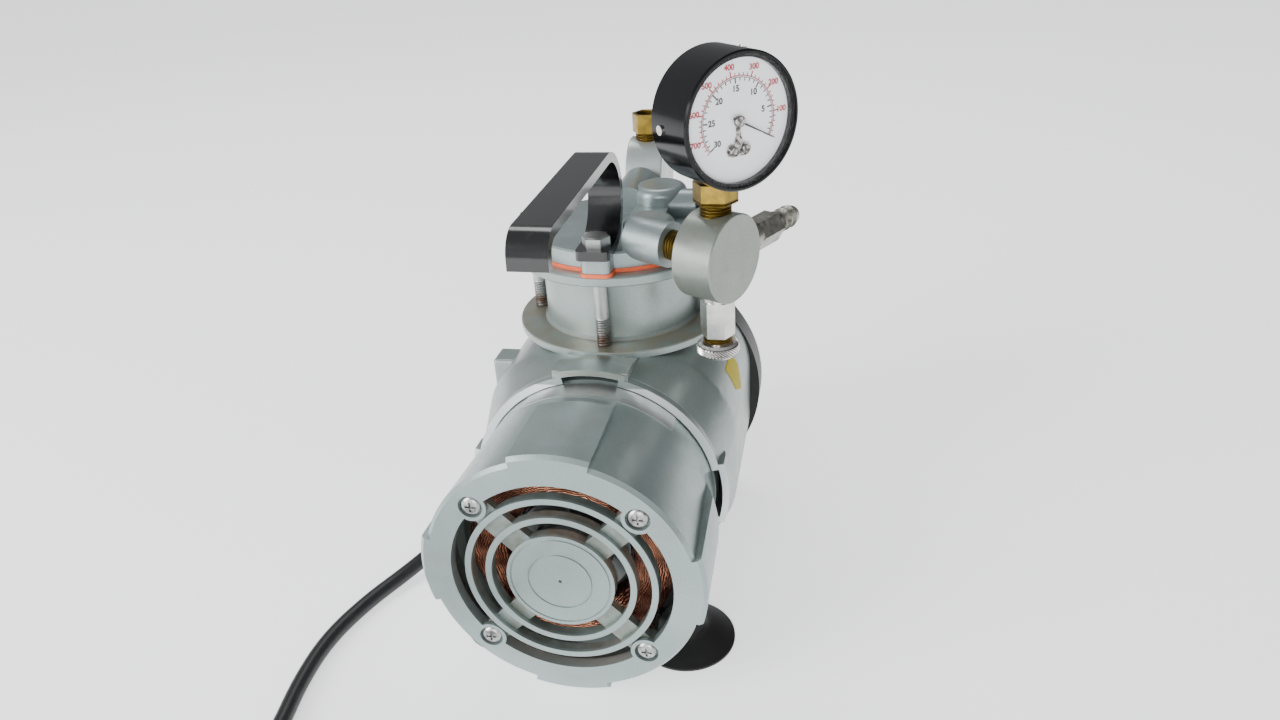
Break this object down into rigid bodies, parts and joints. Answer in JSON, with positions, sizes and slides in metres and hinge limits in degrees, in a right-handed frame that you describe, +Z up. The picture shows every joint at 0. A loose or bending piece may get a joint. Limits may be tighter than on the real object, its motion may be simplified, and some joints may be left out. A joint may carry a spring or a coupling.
{
  "type": "diaphragm vacuum pump",
  "caption": "Small motor-driven diaphragm vacuum pump with vacuum gauge, bleed valve, carrying handle, hose barb, suction feet and mains cord.",
  "frame": {"origin": "on the floor under the middle of the pump, cord left out", "axes": "+Z up, +Y along the motor axis from the grille towards the fan guard, +X towards the gauge and hose barb"},
  "size_m": [0.2135, 0.392, 0.2571],
  "materials": {
    "cast_paint": "satin grey-green paint on castings",
    "grey_green_cast": "satin grey-green",
    "zinc": "zinc plated",
    "silver_foil": "satin foil, blank",
    "laminations": "stacked sheet edges",
    "copper_wire": "varnished copper wire",
    "rotor_iron": "turned",
    "ground_steel": "ground",
    "cast_aluminium": "as cast",
    "yellow_vinyl": "blank vinyl",
    "orange_rubber": "satin",
    "black_oxide": "black oxide",
    "spring_steel": "bright",
    "black_steel": "satin black enamel",
    "brass": "machined",
    "nickel": "nickel plated",
    "dial_white": "matt white enamel with printed scales",
    "clear_lens": "clear",
    "black_plastic": "satin black",
    "black_rubber": "matt black",
    "cord_jacket": "satin black jacket"
  },
  "bodies": {
    "pump_base": {"motor_shell": "cast_paint", "shell_screws": "zinc", "rating_plate": "silver_foil", "stator_core": "laminations", "windings": "copper_wire", "bearing_outer_rings": "ground_steel", "frame": "cast_paint", "caution_sticker": "yellow_vinyl", "diaphragm": "orange_rubber", "head": "cast_paint", "side_port_plug": "black_oxide", "valve_plate": "cast_aluminium", "flap_clamps": "zinc", "head_bolts": "zinc", "handle": "black_steel", "inlet_manifold": "grey_green_cast", "outlet_manifold": "grey_green_cast", "pipe_nipples": "brass", "outlet_fitting": "brass", "hose_barb": "nickel", "bleed_valve_body": "nickel", "bleed_bush": "brass", "gauge_case": "black_steel", "gauge_stem": "brass", "gauge_dial": "dial_white", "gauge_lens": "clear_lens", "gauge_ring": "black_plastic", "dial_bracket": "nickel", "movement_plate": "brass", "bourdon_tube": "brass", "case_rivets": "nickel", "fan_guard": "black_plastic", "guard_screws": "zinc", "suction_feet": "black_rubber", "foot_studs_and_nuts": "zinc", "strain_relief": "black_rubber", "cord_lead": "cord_jacket", "cord_coil": "cord_jacket", "cord_tail": "cord_jacket", "plug_body": "black_rubber", "plug_blades": "brass"},
    "rotor_assembly": {"rotor": "rotor_iron", "shaft": "ground_steel", "bearing_inner_rings": "ground_steel", "bearing_balls": "ground_steel", "eccentric": "ground_steel", "counterweight": "ground_steel", "fan": "black_plastic"},
    "rod_assembly": {"connecting_rod": "cast_aluminium", "rod_bearing": "ground_steel", "diaphragm_retainer": "zinc", "retainer_screw": "zinc"},
    "inlet_reed": {"inlet_flap": "spring_steel"},
    "outlet_reed": {"outlet_flap": "spring_steel"},
    "pointer_assembly": {"gauge_pointer": "spring_steel", "gauge_pinion": "brass"},
    "sector_assembly": {"gauge_sector": "brass"},
    "valve_stem": {"bleed_stem": "nickel", "bleed_spring": "spring_steel"},
    "valve_knob": {"bleed_knob": "nickel"}
  },
  "joints": [
    {"name": "shaft_spin", "type": "hinge", "parent": "pump_base", "child": "rotor_assembly", "pos_m": [-0.00333, 0.02505, 0.066], "axis": [0, 1, 0], "continuous": true},
    {"name": "rod_pivot", "type": "hinge", "parent": "rotor_assembly", "child": "rod_assembly", "pos_m": [-0.00333, 0.02505, 0.069], "axis": [0, 1, 0], "continuous": true, "deforming": ["diaphragm"]},
    {"name": "inlet_reed_lift", "type": "hinge", "parent": "pump_base", "child": "inlet_reed", "pos_m": [0.00397, 0.00855, 0.16325], "axis": [0, 1, 0], "range_deg": [0, 6]},
    {"name": "outlet_reed_lift", "type": "hinge", "parent": "pump_base", "child": "outlet_reed", "pos_m": [-0.00253, 0.04305, 0.16575], "axis": [0, -1, 0], "range_deg": [0, 10]},
    {"name": "pointer_turn", "type": "hinge", "parent": "pump_base", "child": "pointer_assembly", "pos_m": [0.05572, -0.03156, 0.2308], "axis": [0.6652, -0.7466, 0], "range_deg": [0, 245]},
    {"name": "sector_turn", "type": "hinge", "parent": "pump_base", "child": "sector_assembly", "pos_m": [0.04634, -0.03456, 0.2228], "axis": [0.6652, -0.7466, 0], "range_deg": [-52, 1]},
    {"name": "stem_travel", "type": "slide", "parent": "pump_base", "child": "valve_stem", "axis": [0, 0, -1], "range_m": [0, 0.0016], "deforming": ["bleed_spring"]},
    {"name": "knob_turn", "type": "hinge", "parent": "valve_stem", "child": "valve_knob", "pos_m": [0.0504, -0.02559, 0.129], "axis": [0, 0, -1], "range_deg": [-10, 745]}
  ],
  "couplings": [
    {"joint": "rod_pivot", "follows": "shaft_spin", "ratio": -1},
    {"joint": "sector_turn", "follows": "pointer_turn", "ratio": -0.20219},
    {"joint": "knob_turn", "follows": "stem_travel", "rad_per_m": 7854}
  ]
}
